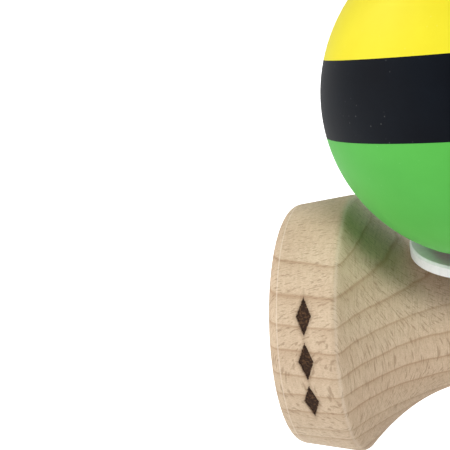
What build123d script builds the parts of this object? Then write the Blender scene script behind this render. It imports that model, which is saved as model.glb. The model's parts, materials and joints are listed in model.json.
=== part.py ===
from build123d import *
import math
import os

# A kendama standing on its base cup, with the ball resting on the spike.
# The origin is the centre of the base cup's rim, on the floor. +Z is the ken's
# axis, up to the spike's tip. The cross-piece's big cup opens towards -X.

# Driving dimensions, in millimetres and degrees.
BALL_R = 30.0
COAT = 0.3
YELLOW_FROM = 8.16
GREEN_TO = -5.75
BALL_HOLE_R = 11.4
BALL_HOLE_BEVEL = 0.5
BALL_HOLE_END = 20.3
LEAN = 12.0

CROSS_Z = 115.0
WAIST_R = 11.24
RIDGE_R = 25.3
RIDGE_X = 27.82
FLARE_POWER = 2.42
BIG_RIM_R = 23.54
BIG_RIM_X = 41.1
BIG_OPEN_R = 21.0
SMALL_RIDGE_R = 22.0
SMALL_RIM_R = 20.7
SMALL_OPEN_R = 18.4
BAND_WIDTH = BIG_RIM_X - RIDGE_X
CUP_R = BALL_R + 0.8
RIM_ROUNDING = 2.2
RIDGE_ROUNDING = 2.0
LIP_ROUNDING = 0.7

MARK_COUNT = 3
MARK_X = -33.9
MARK_WIDTH = 3.0
MARK_HEIGHT = 7.4
MARK_PITCH = 19.4
MARK_MIDDLE_ANGLE = 9.0
MARK_DEPTH = 0.2
MARK_CORNER = 0.5

KEN_LENGTH = 165.0
BASE_RIM_R = 20.2
BASE_OPEN_R = 18.2
BASE_RIDGE_R = 21.0
BASE_RIDGE_Z = 9.0
BASE_WAIST_R = 12.4
BASE_WAIST_Z = 18.5
NECK_R = 7.0
NECK_Z = 33.0
GRIP_R = 10.3
GRIP_Z = 66.0
SEAT_LOW_R = 6.9
SEAT_TOP_R = 5.9
SEAT_HALF = 13.0
SPIKE_R = 5.45
SPIKE_TIP_R = 3.2

RING_R = 16.89
RING_BORE_R = 11.7
RING_SEAT_R = 12.0
RING_THICKNESS = 2.1
RING_BEVEL = 0.4

STRING_R = 0.8
STRING_LIFT = STRING_R + 0.2
STRING_LEAVES_ANGLE = 22.0
STRING_HOLE_R = 1.5
KNOT_R = 2.4
KNOT_LENGTH = 3.2
KNOT_POCKET_R = 2.8
KNOT_Y = 2.5
BEAD_R = 4.3
BEAD_HOLE_R = 1.15
SLACK_NEAR_Y = -18.5
SLACK_SIDE_ANGLE = 49.0
SLACK_LOW_Z = 12.0
SLACK_BEND_R = 3.5
CLEARANCE = 0.02


def flare_radius(x):
    """Radius of the cross-piece's flare at a distance x from the ken's axis."""
    return WAIST_R + (RIDGE_R - WAIST_R) * (abs(x) / RIDGE_X) ** FLARE_POWER


def sphere_height(sphere_r, circle_r):
    """Distance from a sphere's centre to the plane where it is circle_r wide."""
    return math.sqrt(sphere_r**2 - circle_r**2)


# Stands a primitive on its base, with its axis through the origin.
ON_BASE = (Align.CENTER, Align.CENTER, Align.MIN)

# Places that follow from the driving dimensions.
SMALL_RIDGE_X = RIDGE_X * ((SMALL_RIDGE_R - WAIST_R) / (RIDGE_R - WAIST_R)) ** (1 / FLARE_POWER)
SMALL_RIM_X = SMALL_RIDGE_X + BAND_WIDTH * SMALL_RIDGE_R / RIDGE_R
RING_LOW_Z = CROSS_Z + flare_radius(RING_R) + CLEARANCE
RING_TOP_Z = RING_LOW_Z + RING_THICKNESS
BALL_Z = RING_TOP_Z + sphere_height(BALL_R, RING_SEAT_R)
MOUTH_R = BALL_HOLE_R + BALL_HOLE_BEVEL
MOUTH_H = -sphere_height(BALL_R, MOUTH_R)
BEAD_H = BALL_HOLE_END - BEAD_R - CLEARANCE
BEAD_KNOT_TOP_H = BEAD_H - BEAD_R
LYING_R = BALL_R + STRING_LIFT

# Puts a piece drawn about the origin, with the ball's own axis along +Z, in place.
BALL_PLACE = Pos(0, 0, BALL_Z) * Rot(-LEAN, 0, 0)


def on_ball_axis(height):
    """Point on the leaning ball's axis, at a height above the ball's centre."""
    lean = math.radians(LEAN)
    return Vector(0, height * math.sin(lean), BALL_Z + height * math.cos(lean))


def lathe(outline):
    """Turned solid: the outline's x is the radius and its y is the height."""
    return revolve(Plane.XZ * make_face(outline), Axis.Z)


def cup_arc(open_r, rim_height, direction):
    """Hollow of a cup: an arc from its axis to its lip. direction is 1 for a cup opening upwards."""
    half = math.asin(open_r / CUP_R) / 2
    centre = rim_height + direction * sphere_height(CUP_R, open_r)
    bottom = (0, centre - direction * CUP_R)
    middle = (CUP_R * math.sin(half), centre - direction * CUP_R * math.cos(half))
    return ThreePointArc(bottom, middle, (open_r, rim_height))


def edges_at_radius(solid, radius, height):
    """The solid's round edges with this radius about Z at this height."""
    return [
        edge
        for edge in solid.edges().filter_by(GeomType.CIRCLE)
        if abs(edge.radius - radius) < 0.01 and abs(edge.center(CenterOf.BOUNDING_BOX).Z - height) < 0.01
    ]


def make_ken():
    """Spike, handle and base cup, turned from one piece of wood."""
    seat_low_z = CROSS_Z - SEAT_HALF
    seat_top_z = CROSS_Z + SEAT_HALF
    spike_z = RING_LOW_Z + RING_THICKNESS / 2
    tip_z = KEN_LENGTH - SPIKE_TIP_R
    underside = ThreePointArc((BASE_RIDGE_R, BASE_RIDGE_Z), (BASE_WAIST_R, BASE_WAIST_Z), (NECK_R, NECK_Z))
    grip = Spline(
        (NECK_R, NECK_Z),
        (GRIP_R, GRIP_Z),
        (SEAT_LOW_R, seat_low_z),
        tangents=[(0, 1), (SEAT_TOP_R - SEAT_LOW_R, seat_top_z - seat_low_z)],
    )
    outline = Curve() + [
        cup_arc(BASE_OPEN_R, 0, -1),
        Line((BASE_OPEN_R, 0), (BASE_RIM_R, 0)),
        Line((BASE_RIM_R, 0), (BASE_RIDGE_R, BASE_RIDGE_Z)),
        underside,
        grip,
        Polyline((SEAT_LOW_R, seat_low_z), (SEAT_TOP_R, seat_top_z), (SPIKE_R, spike_z)),
        Line((SPIKE_R, spike_z), (SPIKE_TIP_R, tip_z)),
        ThreePointArc(
            (SPIKE_TIP_R, tip_z),
            (SPIKE_TIP_R * math.sin(math.pi / 4), tip_z + SPIKE_TIP_R * math.cos(math.pi / 4)),
            (0, KEN_LENGTH),
        ),
        Line((0, KEN_LENGTH), cup_arc(BASE_OPEN_R, 0, -1) @ 0),
    ]
    ken = lathe(outline)
    ken = fillet(edges_at_radius(ken, BASE_RIM_R, 0), LIP_ROUNDING)
    ken = fillet(edges_at_radius(ken, BASE_RIDGE_R, BASE_RIDGE_Z), LIP_ROUNDING)
    ken -= string_hole(-SEAT_LOW_R - 1, KNOT_Y)
    ken -= Pos(0, KNOT_Y, CROSS_Z) * Rot(-90, 0, 0) * Cylinder(KNOT_POCKET_R, 2 * SEAT_LOW_R, align=ON_BASE)
    return ken


def string_hole(from_y, to_y):
    """Drilling for the string along Y, at the height of the cross-piece's axis."""
    return Pos(0, from_y, CROSS_Z) * Rot(-90, 0, 0) * Cylinder(STRING_HOLE_R, to_y - from_y, align=ON_BASE)


def flare_curve(from_x, to_x, steps=16):
    """The flare's outline between two distances along the cross-piece's axis."""
    places = [from_x + (to_x - from_x) * step / steps for step in range(steps + 1)]
    return Spline([(flare_radius(place), place) for place in places])


def make_cross_piece():
    """Waisted cross-piece with a big cup and a small cup, pushed onto the ken."""
    big_cup = cup_arc(BIG_OPEN_R, BIG_RIM_X, 1)
    small_cup = cup_arc(SMALL_OPEN_R, -SMALL_RIM_X, -1)
    outline = Curve() + [
        big_cup,
        Line((BIG_OPEN_R, BIG_RIM_X), (BIG_RIM_R, BIG_RIM_X)),
        Line((BIG_RIM_R, BIG_RIM_X), (RIDGE_R, RIDGE_X)),
        flare_curve(RIDGE_X, 0),
        flare_curve(0, -SMALL_RIDGE_X),
        Line((SMALL_RIDGE_R, -SMALL_RIDGE_X), (SMALL_RIM_R, -SMALL_RIM_X)),
        Line((SMALL_RIM_R, -SMALL_RIM_X), (SMALL_OPEN_R, -SMALL_RIM_X)),
        small_cup,
        Line(small_cup @ 0, big_cup @ 0),
    ]
    turned = lathe(outline)
    for rim_r, rim_x in ((BIG_RIM_R, BIG_RIM_X), (SMALL_RIM_R, -SMALL_RIM_X)):
        turned = fillet(edges_at_radius(turned, rim_r, rim_x), RIM_ROUNDING)
    for lip_r, lip_x in ((BIG_OPEN_R, BIG_RIM_X), (SMALL_OPEN_R, -SMALL_RIM_X)):
        turned = fillet(edges_at_radius(turned, lip_r, lip_x), LIP_ROUNDING)
    for ridge_r, ridge_x in ((RIDGE_R, RIDGE_X), (SMALL_RIDGE_R, -SMALL_RIDGE_X)):
        turned = fillet(edges_at_radius(turned, ridge_r, ridge_x), RIDGE_ROUNDING)
    cross_piece = Pos(0, 0, CROSS_Z) * Rot(0, -90, 0) * turned
    cross_piece -= ken_seat()
    cross_piece -= string_hole(-RIDGE_R, 0)
    for mark in mark_pockets():
        cross_piece -= mark
    return cross_piece


def ken_seat():
    """Tapered hole through the waist that grips the ken."""
    return Pos(0, 0, CROSS_Z) * Cone(SEAT_LOW_R, SEAT_TOP_R, 2 * SEAT_HALF)


def mark_pockets():
    """Shallow lozenges burnt into the big cup's band, one above the other."""
    slope = (RIDGE_R - BIG_RIM_R) / BAND_WIDTH
    floor_r = BIG_RIM_R + slope * (MARK_X + BIG_RIM_X) - MARK_DEPTH
    half_width = MARK_WIDTH / 2
    band_floor = Pos(MARK_X, 0, CROSS_Z) * Rot(0, 90, 0) * Cone(
        floor_r - slope * half_width, floor_r + slope * half_width, MARK_WIDTH
    )
    lozenge = make_face(
        Polyline(
            (-half_width, 0),
            (0, MARK_HEIGHT / 2),
            (half_width, 0),
            (0, -MARK_HEIGHT / 2),
            close=True,
        )
    )
    lozenge = fillet(lozenge.vertices(), MARK_CORNER)
    pockets = []
    for number in range(MARK_COUNT):
        angle = MARK_MIDDLE_ANGLE + MARK_PITCH * ((MARK_COUNT - 1) / 2 - number)
        facing = Pos(MARK_X, 0, CROSS_Z) * Rot(-angle, 0, 0) * Rot(90, 0, 0)
        column = facing * Pos(0, 0, floor_r - MARK_WIDTH) * extrude(lozenge, 2 * MARK_WIDTH)
        pockets.append(column - band_floor)
    return pockets


def make_spacer_ring():
    """Loose flat ring between the cross-piece and the ball, dished where the ball sits."""
    blank = Pos(0, 0, RING_LOW_Z) * Cylinder(RING_R, RING_THICKNESS, align=ON_BASE)
    blank = chamfer(edges_at_radius(blank, RING_R, RING_TOP_Z), RING_BEVEL)
    bore = Pos(0, 0, RING_LOW_Z) * Cylinder(RING_BORE_R, 2 * RING_THICKNESS, align=ON_BASE)
    ball_room = Pos(0, 0, BALL_Z) * Sphere(BALL_R + CLEARANCE)
    return blank - bore - ball_room


def ball_bore():
    """The spike's hole up from the bottom, and the string's hole out at the top."""
    hole_low = -BALL_R - 1
    hole = Pos(0, 0, hole_low) * Cylinder(BALL_HOLE_R, BALL_HOLE_END - hole_low, align=ON_BASE)
    bevel = Pos(0, 0, MOUTH_H) * Cone(MOUTH_R, BALL_HOLE_R, BALL_HOLE_BEVEL, align=ON_BASE)
    mouth = Pos(0, 0, hole_low) * Cylinder(MOUTH_R, MOUTH_H - hole_low, align=ON_BASE)
    string_way = Cylinder(STRING_HOLE_R, 2 * BALL_R, align=ON_BASE)
    return hole + bevel + mouth + string_way


def make_ball_core():
    """Turned wooden ball under its paint."""
    return BALL_PLACE * (Sphere(BALL_R - COAT) - ball_bore())


def make_coat(low, high):
    """Band of paint round the ball between two heights on the ball's own axis."""
    skin = Sphere(BALL_R) - Sphere(BALL_R - COAT)
    band = Pos(0, 0, low) * Cylinder(2 * BALL_R, high - low, align=ON_BASE)
    return BALL_PLACE * ((skin & band) - ball_bore())


def make_string_bead():
    """Small bead that stops the string from pulling out through the ball's top."""
    bead = Sphere(BEAD_R) - Cylinder(BEAD_HOLE_R, 3 * BEAD_R)
    return BALL_PLACE * Pos(0, 0, BEAD_H) * bead


def make_knot():
    """Knot in the string, as a rounded plug standing on its base."""
    plug = Cylinder(KNOT_R, KNOT_LENGTH, align=ON_BASE)
    return fillet(plug.edges().filter_by(GeomType.CIRCLE), KNOT_R / 3)


def ball_side():
    """The way from the ken's axis to where the string hangs down from the ball's side."""
    turn = math.radians(SLACK_SIDE_ANGLE)
    return Vector(math.cos(turn), -math.sin(turn), 0)


def slack_loop():
    """The slack string: out of the ken, down, round its low end and up to the ball's side."""
    up = Vector(0, 0, 1)
    near = Vector(0, SLACK_NEAR_Y, 0)
    far = ball_side() * LYING_R
    turn_z = SLACK_LOW_Z + (far - near).length / 2
    bend_start = Vector(0, SLACK_NEAR_Y + SLACK_BEND_R, CROSS_Z)
    bend_end = near + up * (CROSS_Z - SLACK_BEND_R)
    return [
        Line((0, KNOT_Y, CROSS_Z), bend_start),
        TangentArc(bend_start, bend_end, tangent=(0, -1, 0)),
        Line(bend_end, near + up * turn_z),
        ThreePointArc(near + up * turn_z, (near + far) * 0.5 + up * SLACK_LOW_Z, far + up * turn_z),
        Line(far + up * turn_z, far + up * BALL_Z),
    ]


def two_arcs(start, heading, end, arriving):
    """Two arcs that leave start along heading, meet smoothly and reach end along arriving."""
    gap = end - start
    turn = 2 * (1 - heading.dot(arriving))
    slope = gap.dot(heading + arriving)
    reach = (math.sqrt(slope**2 + turn * gap.dot(gap)) - slope) / turn
    near = start + heading * reach
    far = end - arriving * reach
    meeting = (near + far) * 0.5
    return [TangentArc(start, meeting, tangent=heading), TangentArc(meeting, end, tangent=far - near)]


def over_ball():
    """The string lying on the ball, upright from its side to near its top hole, then down the hole."""
    up = Vector(0, 0, 1)
    centre = on_ball_axis(0)
    side = centre + ball_side() * LYING_R
    to_hole = on_ball_axis(LYING_R) - side
    across = Vector(to_hole.X, to_hole.Y, 0).normalized()
    circle_r = (centre - side).dot(across)
    middle = side + across * circle_r
    over_hole = on_ball_axis(LYING_R) - middle
    turn = math.atan2(over_hole.Z, -over_hole.dot(across)) - math.radians(STRING_LEAVES_ANGLE)
    leaves = middle - across * (circle_r * math.cos(turn)) + up * (circle_r * math.sin(turn))
    heading = across * math.sin(turn) + up * math.cos(turn)
    enters = on_ball_axis(BALL_R + STRING_R)
    down_hole = (on_ball_axis(0) - on_ball_axis(1)).normalized()
    return [
        TangentArc(side, leaves, tangent=up),
        *two_arcs(leaves, heading, enters, down_hole),
        Line(enters, on_ball_axis(BEAD_KNOT_TOP_H)),
    ]


def make_string():
    """The cord from the ken's knot, hanging slack, then over the ball and into its top hole."""
    path = Wire([stretch.edge() for stretch in slack_loop() + over_ball()])
    return sweep(Plane(origin=path @ 0, z_dir=path % 0) * Circle(STRING_R), path=path)


def make_all():
    """Every separate piece, by the name of its file."""
    knot = make_knot()
    return {
        "ken": make_ken(),
        "cross_piece": make_cross_piece(),
        "spacer_ring": make_spacer_ring(),
        "ball_core": make_ball_core(),
        "paint_yellow": make_coat(YELLOW_FROM, BALL_R),
        "paint_black": make_coat(GREEN_TO, YELLOW_FROM),
        "paint_green": make_coat(-BALL_R, GREEN_TO),
        "string_bead": make_string_bead(),
        "bead_knot": BALL_PLACE * Pos(0, 0, BEAD_KNOT_TOP_H - KNOT_LENGTH) * knot,
        "ken_knot": Pos(0, KNOT_Y, CROSS_Z) * Rot(-90, 0, 0) * knot,
        "string": make_string(),
    }


os.makedirs("parts", exist_ok=True)
for name, shape in make_all().items():
    export_step(shape, f"parts/{name}.step")
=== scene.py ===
import json
import math

import bpy
import numpy as np
from mathutils import Matrix, Vector


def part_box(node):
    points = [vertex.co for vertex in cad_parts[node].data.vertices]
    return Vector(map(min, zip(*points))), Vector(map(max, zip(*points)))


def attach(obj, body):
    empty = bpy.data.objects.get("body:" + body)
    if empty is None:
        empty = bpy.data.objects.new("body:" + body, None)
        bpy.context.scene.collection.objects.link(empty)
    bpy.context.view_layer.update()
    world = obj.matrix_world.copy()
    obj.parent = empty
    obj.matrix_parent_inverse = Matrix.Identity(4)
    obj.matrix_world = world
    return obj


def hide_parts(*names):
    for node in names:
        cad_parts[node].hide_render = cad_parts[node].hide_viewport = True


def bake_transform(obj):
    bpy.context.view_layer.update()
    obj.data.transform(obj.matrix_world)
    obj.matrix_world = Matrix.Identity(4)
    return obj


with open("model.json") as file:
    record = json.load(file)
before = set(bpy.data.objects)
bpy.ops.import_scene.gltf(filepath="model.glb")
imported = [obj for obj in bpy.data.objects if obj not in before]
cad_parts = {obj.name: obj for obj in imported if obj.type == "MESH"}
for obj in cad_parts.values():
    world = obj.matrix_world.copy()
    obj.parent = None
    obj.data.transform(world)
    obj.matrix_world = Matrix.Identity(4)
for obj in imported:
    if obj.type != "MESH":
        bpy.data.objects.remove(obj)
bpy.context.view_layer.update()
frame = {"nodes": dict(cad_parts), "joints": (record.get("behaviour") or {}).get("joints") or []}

# A kendama on a pale floor. Lengths are in metres, except inside the materials,
# where patterns are laid out in millimetres from the frame's own coordinates.
MM = 0.001
nodes = frame["nodes"]
joints = {joint["name"]: joint for joint in frame["joints"]}


# ---------------------------------------------------------------- places from the frame
def node_box(name):
    low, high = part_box(name)
    return Vector(low), Vector(high)


cross_low, cross_high = node_box("cross_piece")
ken_low = node_box("ken")[0]
cord_low, cord_high = node_box("string")
knot_low, knot_high = node_box("ken_knot")

waist = Vector((0.0, 0.0, (cross_low.z + cross_high.z) / 2))
big_rim_x = cross_low.x
ball_centre = Vector(joints["tama_spin"]["pos_m"])
ball_axis = Vector(joints["tama_spin"]["axis"]).normalized()
ball_r = (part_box("paint_black")[1].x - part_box("paint_black")[0].x) / 2
CORD_R = 0.8 * MM


# ---------------------------------------------------------------- material building blocks
class Graph:
    """A material's nodes, with one short call for each node and its links."""

    def __init__(self, name):
        self.material = bpy.data.materials.new(name)
        self.material.use_nodes = True
        self.tree = self.material.node_tree
        self.tree.nodes.clear()

    def node(self, kind, inputs=(), **settings):
        made = self.tree.nodes.new(kind)
        for key, value in settings.items():
            setattr(made, key, value)
        for place, value in dict(inputs).items():
            self.feed(made.inputs[place], value)
        return made

    def feed(self, socket, value):
        """Links another node's output to the socket, or sets the socket to a fixed value."""
        if isinstance(value, bpy.types.NodeSocket):
            self.tree.links.new(value, socket)
        else:
            socket.default_value = value

    def math(self, operation, first, second=0.0):
        return self.node("ShaderNodeMath", {0: first, 1: second}, operation=operation).outputs[0]

    def place(self):
        """The object's own coordinates in millimetres, as (vector, x, y, z)."""
        source = self.node("ShaderNodeTexCoord").outputs["Object"]
        scaled = self.node("ShaderNodeVectorMath", {0: source, "Scale": 1 / MM}, operation="SCALE").outputs[0]
        split = self.node("ShaderNodeSeparateXYZ", {0: scaled}).outputs
        return scaled, split[0], split[1], split[2]

    def vector(self, x, y, z):
        return self.node("ShaderNodeCombineXYZ", {0: x, 1: y, 2: z}).outputs[0]

    def stretched(self, x, y, z, scales):
        """A vector of the three coordinates, each times its own scale."""
        return self.vector(*(self.math("MULTIPLY", part, scale) for part, scale in zip((x, y, z), scales)))

    def noise(self, vector, scale=1.0, detail=2.0, roughness=0.5):
        inputs = {"Vector": vector, "Scale": scale, "Detail": detail, "Roughness": roughness}
        return self.node("ShaderNodeTexNoise", inputs).outputs[0]

    def ramp(self, value, stops):
        """Grey value from a list of (position, grey) stops."""
        made = self.node("ShaderNodeValToRGB", {0: value})
        band = made.color_ramp
        while len(band.elements) < len(stops):
            band.elements.new(0.5)
        for element, (position, grey) in zip(band.elements, stops):
            element.position = position
            element.color = (grey, grey, grey, 1.0)
        return made.outputs[0]

    def mix(self, factor, first, second):
        """Mixes two colours. A Mix node holds its colour inputs at 6 and 7 and its colour output at 2."""
        made = self.node("ShaderNodeMix", data_type="RGBA")
        self.feed(made.inputs[0], factor)
        self.feed(made.inputs[6], first)
        self.feed(made.inputs[7], second)
        return made.outputs[2]

    def bump(self, height, distance, strength):
        inputs = {"Height": height, "Distance": distance, "Strength": strength}
        return self.node("ShaderNodeBump", inputs).outputs[0]

    def finish(self, colour, roughness, normal, **principled):
        """Joins everything to one Principled surface and returns the material."""
        inputs = {"Base Color": colour, "Roughness": roughness, "Normal": normal}
        inputs.update({key.replace("_", " "): value for key, value in principled.items()})
        surface = self.node("ShaderNodeBsdfPrincipled", inputs).outputs[0]
        self.node("ShaderNodeOutputMaterial", {0: surface})
        return self.material


def rgb(red, green, blue):
    return (red, green, blue, 1.0)


# ---------------------------------------------------------------- beech
WOOD_LIGHT = rgb(0.700, 0.565, 0.405)
WOOD_PINK = rgb(0.660, 0.510, 0.360)
WOOD_LATE = rgb(0.400, 0.255, 0.150)
WOOD_FLECK = rgb(0.260, 0.160, 0.090)
BURN_DARK = rgb(0.030, 0.014, 0.007)
BURN_BROWN = rgb(0.160, 0.080, 0.036)
RING_SPACING = 4.2


def beech(name, along, across, radial, pith, decorate=None):
    """Solid beech. along, across and radial say which coordinate (0, 1, 2) runs with the grain,
    round the growth rings and out from the pith; pith is its (across, radial) place in millimetres."""
    graph = Graph(name)
    parts = graph.place()[1:]
    grain, side, depth = parts[along], parts[across], parts[radial]

    warp_at = graph.stretched(grain, side, depth, (0.014, 0.05, 0.05))
    warp = graph.math("MULTIPLY", graph.math("SUBTRACT", graph.noise(warp_at, 1.0, 2.0), 0.5), 3.2)
    ripple_at = graph.stretched(grain, side, depth, (0.16, 0.4, 0.4))
    ripple = graph.math("MULTIPLY", graph.math("SUBTRACT", graph.noise(ripple_at, 1.0, 2.0), 0.5), 0.5)
    from_side = graph.math("SUBTRACT", side, pith[0])
    from_depth = graph.math("SUBTRACT", depth, pith[1])
    squares = graph.math(
        "ADD", graph.math("MULTIPLY", from_side, from_side), graph.math("MULTIPLY", from_depth, from_depth)
    )
    distance = graph.math("ADD", graph.math("SQRT", squares), graph.math("ADD", warp, ripple))
    uneven = graph.noise(graph.vector(graph.math("MULTIPLY", distance, 0.13), 0.0, 0.0), 1.0, 1.0)
    ring = graph.math("FRACT", graph.math("ADD", graph.math("DIVIDE", distance, RING_SPACING), uneven))
    late = graph.ramp(ring, [(0.0, 0.10), (0.12, 0.0), (0.60, 0.14), (0.86, 0.42), (0.94, 1.0), (1.0, 0.12)])

    broad = graph.noise(graph.stretched(grain, side, depth, (0.02, 0.06, 0.06)), 1.0, 2.0)
    colour = graph.mix(graph.ramp(broad, [(0.35, 0.0), (0.65, 1.0)]), WOOD_LIGHT, WOOD_PINK)
    ring_strength = graph.math("MULTIPLY", late, graph.ramp(broad, [(0.3, 0.50), (0.7, 0.85)]))
    colour = graph.mix(ring_strength, colour, WOOD_LATE)

    ray_noise = graph.noise(graph.stretched(grain, side, depth, (0.75, 5.2, 0.30)), 1.0, 1.5, 0.6)
    rays = graph.ramp(ray_noise, [(0.565, 0.0), (0.655, 1.0)])
    colour = graph.mix(graph.math("MULTIPLY", rays, 0.50), colour, WOOD_FLECK)
    ribbon_noise = graph.noise(graph.stretched(grain, side, depth, (1.6, 0.5, 0.35)), 1.0, 2.0, 0.6)
    ribbons = graph.ramp(ribbon_noise, [(0.42, 0.0), (0.62, 1.0)])
    colour = graph.mix(graph.math("MULTIPLY", ribbons, 0.16), colour, WOOD_LATE)
    pore_noise = graph.noise(graph.stretched(grain, side, depth, (1.9, 9.0, 9.0)), 1.0, 3.0, 0.75)
    pores = graph.ramp(pore_noise, [(0.46, 0.0), (0.72, 1.0)])
    colour = graph.mix(graph.math("MULTIPLY", pores, 0.50), colour, WOOD_FLECK)

    roughness = graph.math("ADD", 0.56, graph.math("MULTIPLY", pores, 0.25))
    height = graph.math("SUBTRACT", 1.0, graph.math("ADD", graph.math("MULTIPLY", pores, 0.5), rays))
    if decorate:
        colour, roughness = decorate(graph, parts, colour, roughness)
    return graph.finish(colour, roughness, graph.bump(height, 0.05 * MM, 0.5), Specular_IOR_Level=0.22)


# The three lozenges sunk into the big cup's band, in millimetres, with their pitch round the
# cross-piece and the middle one's place in degrees. They match the recesses in the frame's mesh.
MARK_X = -33.9
MARK_WIDTH = 3.0
MARK_HEIGHT = 7.4
MARK_PITCH = 19.4
MARK_MIDDLE_ANGLE = 9.0
MARK_RADIUS = 24.3
# The big cup's band and ridge stand further from the cross-piece's axis than this, in millimetres.
# The cup's hollow, the waist and the small cup lie closer.
BIG_BAND_INSIDE_R = 22.8
# Painted highlight lines, one just behind the big cup's rim where its rounding starts and one on its ridge:
# place along X, width and strength.
EDGE_HIGHLIGHT_LINES = ((big_rim_x / MM + 2.1, 0.16, 0.60), (-27.75, 0.40, 0.25))
# Colour of the painted edge highlights.
WOOD_HIGHLIGHT = rgb(0.80, 0.69, 0.56)
FLARE_REACH = 40.0


def on_big_band(graph, parts):
    """1 on the big cup's band and ridge, and 0 closer to the axis, as in the cup's hollow."""
    x, y, z = parts
    up = graph.math("SUBTRACT", z, waist.z / MM)
    squares = graph.math("ADD", graph.math("MULTIPLY", y, y), graph.math("MULTIPLY", up, up))
    return graph.math("GREATER_THAN", graph.math("SQRT", squares), BIG_BAND_INSIDE_R)


def burnt_marks(graph, parts, colour, roughness):
    """Darkens the wood inside the three lozenges, with a scorched halo round each."""
    x, y, z = parts
    up = graph.math("SUBTRACT", z, waist.z / MM)
    angle = graph.math("ARCTAN2", up, graph.math("MULTIPLY", y, -1.0))
    pitch = math.radians(MARK_PITCH)
    turns = graph.math("DIVIDE", graph.math("SUBTRACT", angle, math.radians(MARK_MIDDLE_ANGLE)), pitch)
    nearest = graph.math("MINIMUM", graph.math("MAXIMUM", graph.math("ROUND", turns), -1.0), 1.0)
    away = graph.math("MULTIPLY", graph.math("SUBTRACT", turns, nearest), pitch * MARK_RADIUS)
    upright = graph.math("DIVIDE", graph.math("ABSOLUTE", away), MARK_HEIGHT / 2)
    level = graph.math("DIVIDE", graph.math("ABSOLUTE", graph.math("SUBTRACT", x, MARK_X)), MARK_WIDTH / 2)
    reach = graph.math("ADD", upright, level)
    ragged = graph.noise(graph.stretched(x, y, z, (2.4, 2.4, 2.4)), 1.0, 3.0, 0.6)
    edge = graph.math("ADD", reach, graph.math("MULTIPLY", graph.math("SUBTRACT", ragged, 0.5), 0.35))
    inside = graph.ramp(edge, [(0.0, 1.0), (0.90, 1.0), (1.0, 0.0)])
    halo = graph.ramp(graph.math("DIVIDE", edge, 1.5), [(0.60, 0.45), (1.0, 0.0)])
    char = graph.mix(graph.ramp(ragged, [(0.50, 0.0), (0.80, 1.0)]), BURN_DARK, BURN_BROWN)
    on_band = on_big_band(graph, parts)
    scorched = graph.mix(graph.math("MULTIPLY", halo, on_band), colour, BURN_BROWN)
    charred = graph.math("MULTIPLY", inside, on_band)
    roughness = graph.math("ADD", roughness, graph.math("MULTIPLY", charred, 0.2))
    return graph.mix(charred, scorched, char), roughness


def painted_edge_highlights(graph, parts, colour, roughness):
    """Painted highlights: pale lines on the band's rounded edges, just behind the rim and on the ridge, where
    light catches them.
    """
    x, y, z = parts
    wander = graph.math("MULTIPLY", graph.noise(graph.stretched(x, y, z, (0.05, 0.05, 0.05)), 1.0), 0.25)
    for line_x, width, strength in EDGE_HIGHLIGHT_LINES:
        gap = graph.math("ABSOLUTE", graph.math("SUBTRACT", graph.math("ADD", x, wander), line_x))
        line = graph.ramp(graph.math("DIVIDE", gap, width), [(0.0, strength), (1.0, 0.0)])
        # Each line is a painted highlight, kept off the cup's hollow by on_big_band.
        shown = graph.math("MULTIPLY", line, on_big_band(graph, parts))
        colour = graph.mix(shown, colour, WOOD_HIGHLIGHT)
    return colour, roughness


def lathe_hatch(graph, parts, colour, roughness):
    """Fine strokes round the flare, square to the grain, left by the tool and the sandpaper."""
    x, y, z = parts
    strokes = graph.noise(graph.stretched(x, y, z, (5.5, 0.45, 0.45)), 1.0, 3.0, 0.7)
    dark = graph.ramp(strokes, [(0.50, 0.0), (0.68, 1.0)])
    outward = graph.math("DIVIDE", graph.math("ABSOLUTE", x), FLARE_REACH)
    on_flare = graph.ramp(outward, [(0.62, 1.0), (0.70, 0.15)])
    shown = graph.math("MULTIPLY", graph.math("MULTIPLY", dark, on_flare), 0.36)
    return graph.mix(shown, colour, WOOD_FLECK), roughness


def cross_piece_finish(graph, parts, colour, roughness):
    colour, roughness = lathe_hatch(graph, parts, colour, roughness)
    # Painted highlights on the band's edges.
    colour, roughness = painted_edge_highlights(graph, parts, colour, roughness)
    return burnt_marks(graph, parts, colour, roughness)


# ---------------------------------------------------------------- paint, plastic and cord
def rubber_paint(name, colour, tint, speck, speck_amount, specular):
    """Thick matte paint: a fine orange-peel skin, faint mottling, a few dust specks and a soft sheen."""
    graph = Graph(name)
    place = graph.place()[0]
    mottle = graph.noise(place, 0.12, 3.0, 0.55)
    painted = graph.mix(graph.ramp(mottle, [(0.3, 0.0), (0.7, 1.0)]), colour, tint)
    cells = graph.node("ShaderNodeTexVoronoi", {"Vector": place, "Scale": 0.8}).outputs[0]
    where = graph.ramp(graph.noise(place, 0.10, 2.0), [(0.50, 0.0), (0.62, 1.0)])
    dots = graph.math("MULTIPLY", graph.ramp(cells, [(0.05, 1.0), (0.13, 0.0)]), where)
    painted = graph.mix(graph.math("MULTIPLY", dots, speck_amount), painted, speck)
    peel = graph.noise(place, 2.6, 3.0, 0.6)
    roughness = graph.math("ADD", 0.50, graph.math("MULTIPLY", mottle, 0.12))
    return graph.finish(
        painted,
        roughness,
        graph.bump(peel, 0.02 * MM, 0.5),
        Specular_IOR_Level=specular,
        Sheen_Weight=0.10,
        Sheen_Roughness=0.45,
    )


def ring_plastic():
    """White moulded plastic with a satin skin and faint scuffs."""
    graph = Graph("ring_plastic")
    place = graph.place()[0]
    scuffs = graph.ramp(graph.noise(place, 0.9, 4.0, 0.65), [(0.45, 0.0), (0.75, 1.0)])
    colour = graph.mix(scuffs, rgb(0.84, 0.85, 0.84), rgb(0.76, 0.77, 0.76))
    roughness = graph.math("ADD", 0.34, graph.math("MULTIPLY", scuffs, 0.2))
    return graph.finish(colour, roughness, graph.bump(scuffs, 0.02 * MM, 0.4), Specular_IOR_Level=0.4)


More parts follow.
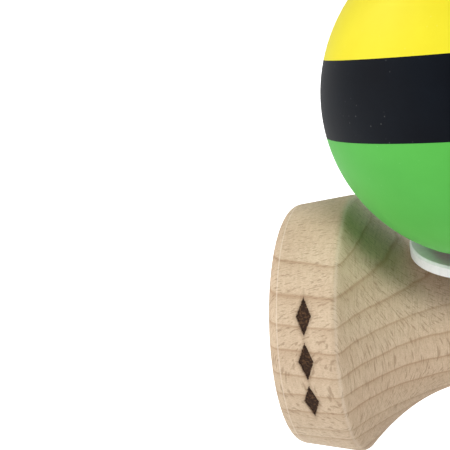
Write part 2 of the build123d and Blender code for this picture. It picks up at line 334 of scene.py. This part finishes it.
def bead_plastic():
    """Pale polished bead with a swirl."""
    graph = Graph("bead_plastic")
    place = graph.place()[0]
    swirl = graph.noise(place, 0.35, 4.0, 0.6)
    band = graph.ramp(swirl, [(0.4, 0.0), (0.6, 1.0)])
    colour = graph.mix(band, rgb(0.78, 0.78, 0.75), rgb(0.62, 0.62, 0.60))
    return graph.finish(colour, 0.22, graph.bump(swirl, 0.02 * MM, 0.3), Specular_IOR_Level=0.5)


def braided_cord():
    """White polyester cord, with a fine fibrous surface, painted shade in the hollows between its fibres, and
    faint patches of grime.
    """
    graph = Graph("cord")
    place = graph.place()[0]
    fibres = graph.noise(place, 9.0, 3.0, 0.7)
    grime = graph.noise(place, 0.25, 2.0)
    # Painted shade: the fibres are lighter where their bump stands proud and darker in the hollows between
    # them.
    fibre_light_and_shade = graph.ramp(fibres, [(0.35, 0.0), (0.7, 1.0)])
    colour = graph.mix(fibre_light_and_shade, rgb(0.62, 0.61, 0.57), rgb(0.86, 0.86, 0.83))
    colour = graph.mix(graph.math("MULTIPLY", grime, 0.25), colour, rgb(0.52, 0.49, 0.43))
    normal = graph.bump(fibres, 0.05 * MM, 0.6)
    return graph.finish(colour, 0.85, normal, Specular_IOR_Level=0.15, Sheen_Weight=0.3)


def dress(name, material):
    """Gives a CAD node its material."""
    mesh = nodes[name].data
    mesh.materials.clear()
    mesh.materials.append(material)


# Each paint's colour, its mottled tint, its specks' colour and strength, and its shine.
PAINTS = {
    "paint_yellow": (rgb(0.80, 0.70, 0.014), rgb(0.77, 0.66, 0.010), rgb(0.9, 0.85, 0.3), 0.2, 0.3),
    "paint_black": (rgb(0.002, 0.003, 0.006), rgb(0.003, 0.005, 0.009), rgb(0.10, 0.10, 0.10), 0.6, 0.06),
    "paint_green": (rgb(0.082, 0.46, 0.056), rgb(0.074, 0.43, 0.050), rgb(0.25, 0.65, 0.2), 0.25, 0.3),
}
# How far below the cross-piece's axis the tree's pith lay, in millimetres.
CROSS_PITH_BELOW = 190.0


def dress_cad_nodes():
    cross_pith = (14.0, waist.z / MM - CROSS_PITH_BELOW)
    dress("cross_piece", beech("beech_cross", 0, 1, 2, cross_pith, cross_piece_finish))
    dress("ken", beech("beech_ken", 2, 0, 1, (60.0, 120.0)))
    dress("ball_core", beech("beech_ball", 2, 0, 1, (-40.0, 90.0)))
    for name, look in PAINTS.items():
        dress(name, rubber_paint(name, *look))
    dress("spacer_ring", ring_plastic())
    dress("string_bead", bead_plastic())


# ---------------------------------------------------------------- the cord and its knots
def travelling_frames(path, closed=False):
    """Tangent and two cross directions at each point, turning as little as they can."""
    ahead = np.roll(path, -1, 0) - np.roll(path, 1, 0) if closed else np.gradient(path, axis=0)
    tangents = ahead / np.linalg.norm(ahead, axis=1)[:, None]
    start = np.array((1.0, 0.3, 0.2))
    sides = []
    for tangent in tangents:
        start = start - tangent * (start @ tangent)
        start = start / np.linalg.norm(start)
        sides.append(start)
    sides = np.array(sides)
    return tangents, sides, np.cross(tangents, sides)


CORD_STEP = 0.35 * MM
# make_slack_cord works out the cord's full depth below the cross-piece's axis, less FULL_LIFT_ABOVE_LOW, and
# a lean of LEAN_TO_FAR_LEG towards the far leg, but nothing uses them.
FULL_LIFT_ABOVE_LOW = 20 * MM
LEAN_TO_FAR_LEG = 10.0
# Points along the cord's arcs, before even_path() spaces them evenly.
BEND_POINTS = 12
ROUND_POINTS = 60
OVER_HOLE_POINTS = 24
KNOT_SIZE = 0.55 * MM
KNOT_POINTS = 240
KNOT_CORD_R = 0.95 * CORD_R
BRAID_SIDES = 20
BRAID_PITCH = 3.4 * MM
BRAID_DEPTH = 0.13


def braid_height(turn, along):
    """How proud the braid's surface stands: two sets of strands that wind against each other."""
    wind = 2 * math.pi * along / BRAID_PITCH
    left = np.abs(np.cos(1.5 * turn + wind))
    right = np.abs(np.cos(1.5 * turn - wind))
    return np.maximum(left, right)


def cord_mesh(name, path, radius, closed=False):
    """Braided tube along a path, as a mesh object."""
    tangents, sides, ups = travelling_frames(path, closed)
    steps = np.linalg.norm(np.diff(path, axis=0), axis=1)
    along = np.concatenate(([0.0], np.cumsum(steps)))
    turns = np.arange(BRAID_SIDES) * 2 * math.pi / BRAID_SIDES
    vertices = []
    for index, centre in enumerate(path):
        proud = radius * (1 - BRAID_DEPTH + BRAID_DEPTH * braid_height(turns, along[index]))
        around = np.outer(np.cos(turns), sides[index]) + np.outer(np.sin(turns), ups[index])
        vertices.extend(centre + around * proud[:, None])
    rings = len(path)
    faces = []
    for ring in range(rings if closed else rings - 1):
        following = (ring + 1) % rings
        for side in range(BRAID_SIDES):
            beside = (side + 1) % BRAID_SIDES
            faces.append(
                (
                    ring * BRAID_SIDES + side,
                    ring * BRAID_SIDES + beside,
                    following * BRAID_SIDES + beside,
                    following * BRAID_SIDES + side,
                )
            )
    if not closed:
        faces.append(tuple(reversed(range(BRAID_SIDES))))
        faces.append(tuple((rings - 1) * BRAID_SIDES + side for side in range(BRAID_SIDES)))
    mesh = bpy.data.meshes.new(name)
    mesh.from_pydata([tuple(vertex) for vertex in vertices], [], faces)
    mesh.update()
    for polygon in mesh.polygons:
        polygon.use_smooth = True
    made = bpy.data.objects.new(name, mesh)
    bpy.context.scene.collection.objects.link(made)
    return made


def on_ball_axis(height):
    return ball_centre + ball_axis * height


def arc_points(centre, first, second, from_turn, to_turn, radius, count):
    """Points round an arc: first and second are the directions at turns of 0 and 90 degrees."""
    turns = np.linspace(from_turn, to_turn, count)
    points = []
    for turn in turns:
        beside = centre + first * (radius * math.cos(turn))
        points.append(np.array(beside + second * (radius * math.sin(turn))))
    return points


def two_arc_points(start, heading, end, arriving, count):
    """Points along two arcs that leave start along heading, meet smoothly and reach end along arriving."""
    gap = end - start
    turn = 2 * (1 - heading.dot(arriving))
    slope = gap.dot(heading + arriving)
    reach = (math.sqrt(slope**2 + turn * gap.length_squared) - slope) / turn
    near = start + heading * reach
    far = end - arriving * reach
    meeting = (near + far) / 2
    points = []
    for first, corner, last in ((start, near, meeting), (meeting, far, end)):
        half = (last - first).angle(corner - first)
        chord = (last - first).length
        radius = chord / (2 * math.sin(half))
        along = (corner - first).normalized()
        inward = (last - first) - along * (last - first).dot(along)
        inward.normalize()
        centre = first + inward * radius
        points += arc_points(centre, -inward, along, 0.0, 2 * half, radius, count)
    return points


far_side = Vector((cord_high.x - CORD_R, cord_low.y + CORD_R, 0.0))
lying_r = far_side.length
NEAR_LEG_Y = -18.5 * MM
LEG_BEND_R = 3.5 * MM
CORD_LEAVES_ANGLE = 22.0
UP = Vector((0.0, 0.0, 1.0))


def slack_path():
    """From the ken's knot out through the cross-piece, down, round and up to the ball's side."""
    near = Vector((0.0, NEAR_LEG_Y, 0.0))
    turn_r = (far_side - near).length / 2
    turn_z = cord_low.z + CORD_R + turn_r
    across = (far_side - near).normalized()
    bend_centre = Vector((0.0, NEAR_LEG_Y + LEG_BEND_R, waist.z - LEG_BEND_R))
    points = [np.array((0.0, knot_low.y, waist.z))]
    points += arc_points(bend_centre, UP, Vector((0, -1, 0)), 0.0, math.pi / 2, LEG_BEND_R, BEND_POINTS)
    turn_centre = (near + far_side) / 2 + UP * turn_z
    points += arc_points(turn_centre, -across, -UP, 0.0, math.pi, turn_r, ROUND_POINTS)
    points.append(np.array(far_side + UP * ball_centre.z))
    return points


def top_path():
    """Where the cord lies on the ball, from its side to near its top hole, then over and down it."""
    side = ball_centre + far_side
    to_hole = on_ball_axis(lying_r) - side
    across = Vector((to_hole.x, to_hole.y, 0.0)).normalized()
    circle_r = (ball_centre - side).dot(across)
    middle = side + across * circle_r
    over_hole = on_ball_axis(lying_r) - middle
    leaves_turn = math.atan2(over_hole.z, -over_hole.dot(across)) - math.radians(CORD_LEAVES_ANGLE)
    points = arc_points(middle, -across, UP, 0.0, leaves_turn, circle_r, ROUND_POINTS)
    heading = across * math.sin(leaves_turn) + UP * math.cos(leaves_turn)
    leaves = Vector(points[-1])
    hole_mouth = on_ball_axis(ball_r + CORD_R)
    points += two_arc_points(leaves, heading, hole_mouth, -ball_axis, OVER_HOLE_POINTS)
    knot_top = (node_box("bead_knot")[1].z - ball_centre.z) / ball_axis.z
    points.append(np.array(on_ball_axis(knot_top)))
    return points


def even_path(points, step):
    """The same path with points every step along it and no doubled corners."""
    points = np.array(points)
    lengths = np.concatenate(([0.0], np.cumsum(np.linalg.norm(np.diff(points, axis=0), axis=1))))
    keep = np.concatenate(([True], np.diff(lengths) > 1e-7))
    points, lengths = points[keep], lengths[keep]
    places = np.linspace(0.0, lengths[-1], int(lengths[-1] / step))
    return np.stack([np.interp(places, lengths, points[:, part]) for part in range(3)], axis=1)


def make_slack_cord(cord):
    """The slack part of the cord. It hangs from the ken and runs round to the ball's side, in place of the
    hidden CAD string.
    """
    piece = cord_mesh("string_slack", even_path(slack_path(), CORD_STEP), CORD_R)
    piece.data.materials.append(cord)
    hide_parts("string")
    full_depth = waist.z - cord_low.z - FULL_LIFT_ABOVE_LOW
    lean = Vector((LEAN_TO_FAR_LEG, 0.0, -1.0))
    lean *= full_depth / lean.length_squared
    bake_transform(piece)


def make_top_cord(cord):
    """The part that lies over the ball and goes down its top hole to the bead's knot."""
    path = top_path()
    piece = cord_mesh("string_top", even_path(path, CORD_STEP), CORD_R)
    piece.data.materials.append(cord)
    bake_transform(piece)


def make_knot(name, node, body, centre, axis, cord):
    """Overhand knot drawn up tight: a trefoil of cord lying square to the cord's own direction."""
    turn = np.linspace(0, 2 * math.pi, KNOT_POINTS, endpoint=False)
    flat = np.stack(
        (
            np.sin(turn) + 2 * np.sin(2 * turn),
            np.cos(turn) - 2 * np.cos(2 * turn),
            -1.4 * np.sin(3 * turn),
        ),
        axis=1,
    )
    flat *= KNOT_SIZE
    facing = Vector(axis).to_track_quat("Z", "Y").to_matrix()
    path = flat @ np.array(facing).T + np.array(centre)
    piece = cord_mesh(name, path, KNOT_CORD_R, closed=True)
    piece.data.materials.append(cord)
    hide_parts(node)
    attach(piece, body)


# ---------------------------------------------------------------- floor, light and camera
CAMERA_FROM_WAIST = Vector((21.7, -217.8, 105.9)) * MM
LOOK_YAW = -18.98
LOOK_PITCH = -20.07
LOOK_ROLL = -9.35
LENS = 99.1
SENSOR = 36.0


def aim_camera():
    """Close view of the big cup and the ball's left side, from in front and a little above."""
    yaw, pitch, roll = (math.radians(angle) for angle in (LOOK_YAW, LOOK_PITCH, LOOK_ROLL))
    forward = Vector((math.sin(yaw) * math.cos(pitch), math.cos(yaw) * math.cos(pitch), math.sin(pitch)))
    level_right = Vector((math.cos(yaw), -math.sin(yaw), 0.0))
    level_up = level_right.cross(forward)
    right = math.cos(roll) * level_right + math.sin(roll) * level_up
    up = -math.sin(roll) * level_right + math.cos(roll) * level_up
    data = bpy.data.cameras.new("camera")
    data.lens = LENS
    data.sensor_width = SENSOR
    data.clip_start = 10 * MM
    camera = bpy.data.objects.new("camera", data)
    bpy.context.scene.collection.objects.link(camera)
    turn = Matrix((right, up, -forward)).transposed().to_4x4()
    camera.matrix_world = Matrix.Translation(waist + CAMERA_FROM_WAIST) @ turn
    bpy.context.scene.camera = camera


def add_area_light(name, place, size, power):
    data = bpy.data.lights.new(name, "AREA")
    data.size = size
    data.energy = power
    lamp = bpy.data.objects.new(name, data)
    bpy.context.scene.collection.objects.link(lamp)
    lamp.location = place
    lamp.rotation_euler = (waist - Vector(place)).to_track_quat("-Z", "Y").to_euler()


WORLD_LIGHT = 0.04
FLOOR_GLOW = 0.66
FLOOR_BOUNCE = 0.20
FLOOR_WHITE_FROM = 0.5
FLOOR_HALF_SIZE = 6.0
FLOOR_GAP = 0.05 * MM


def make_floor():
    """Plain pale floor, bright enough to read as a white studio sweep."""
    size = FLOOR_HALF_SIZE
    height = ken_low.z - FLOOR_GAP
    corners = [(-size, -size, height), (size, -size, height), (size, size, height), (-size, size, height)]
    mesh = bpy.data.meshes.new("floor")
    mesh.from_pydata(corners, [], [(0, 1, 2, 3)])
    floor = bpy.data.objects.new("floor", mesh)
    bpy.context.scene.collection.objects.link(floor)
    graph = Graph("floor")
    pale = graph.node("ShaderNodeBsdfDiffuse", {"Color": rgb(0.86, 0.86, 0.86)}).outputs[0]
    is_camera = graph.node("ShaderNodeLightPath").outputs["Is Camera Ray"]
    x, y = graph.place()[1:3]
    out = graph.math("SQRT", graph.math("ADD", graph.math("MULTIPLY", x, x), graph.math("MULTIPLY", y, y)))
    glow_seen = graph.ramp(graph.math("DIVIDE", out, FLOOR_WHITE_FROM / MM), [(0.12, FLOOR_GLOW), (1.0, 1.0)])
    choices = {0: is_camera, 2: FLOOR_BOUNCE, 3: glow_seen}
    strength = graph.node("ShaderNodeMix", choices, data_type="FLOAT").outputs[0]
    glow = graph.node("ShaderNodeEmission", {"Color": rgb(1, 1, 1), "Strength": strength}).outputs[0]
    surface = graph.node("ShaderNodeAddShader", {0: pale, 1: glow}).outputs[0]
    graph.node("ShaderNodeOutputMaterial", {0: surface})
    mesh.materials.append(graph.material)


def make_world():
    """Even white surroundings: full white to the camera, dimmer as light on the object."""
    world = bpy.data.worlds.new("studio")
    world.use_nodes = True
    tree = world.node_tree
    tree.nodes.clear()
    light = tree.nodes.new("ShaderNodeBackground")
    light.inputs["Strength"].default_value = WORLD_LIGHT
    seen = tree.nodes.new("ShaderNodeBackground")
    seen.inputs["Strength"].default_value = 1.0
    for background in (light, seen):
        background.inputs["Color"].default_value = rgb(1, 1, 1)
    path = tree.nodes.new("ShaderNodeLightPath")
    choose = tree.nodes.new("ShaderNodeMixShader")
    tree.links.new(path.outputs["Is Camera Ray"], choose.inputs[0])
    tree.links.new(light.outputs[0], choose.inputs[1])
    tree.links.new(seen.outputs[0], choose.inputs[2])
    out = tree.nodes.new("ShaderNodeOutputWorld")
    tree.links.new(choose.outputs[0], out.inputs[0])
    bpy.context.scene.world = world


def light_studio():
    make_floor()
    make_world()
    add_area_light("key", (0.34, -0.62, 1.05), 0.30, 8.2)
    add_area_light("left", (-1.00, -0.50, 0.35), 0.7, 5.0)
    add_area_light("front", (-0.40, -1.10, 0.25), 0.5, 2.0)
    add_area_light("top_left", (-0.80, 0.10, 0.90), 0.4, 4.6)
    add_area_light("back", (0.15, 1.00, 0.50), 0.6, 4.0)
    bpy.context.scene.view_settings.view_transform = "Standard"


# ---------------------------------------------------------------- assembly
dress_cad_nodes()
cord = braided_cord()
make_slack_cord(cord)
make_top_cord(cord)
bead_knot_low, bead_knot_high = node_box("bead_knot")
make_knot("knot_in_ball", "bead_knot", "tether", (bead_knot_low + bead_knot_high) / 2, ball_axis, cord)
make_knot("knot_in_ken", "ken_knot", "ken", (knot_low + knot_high) / 2, (0.0, 1.0, 0.0), cord)
light_studio()
aim_camera()
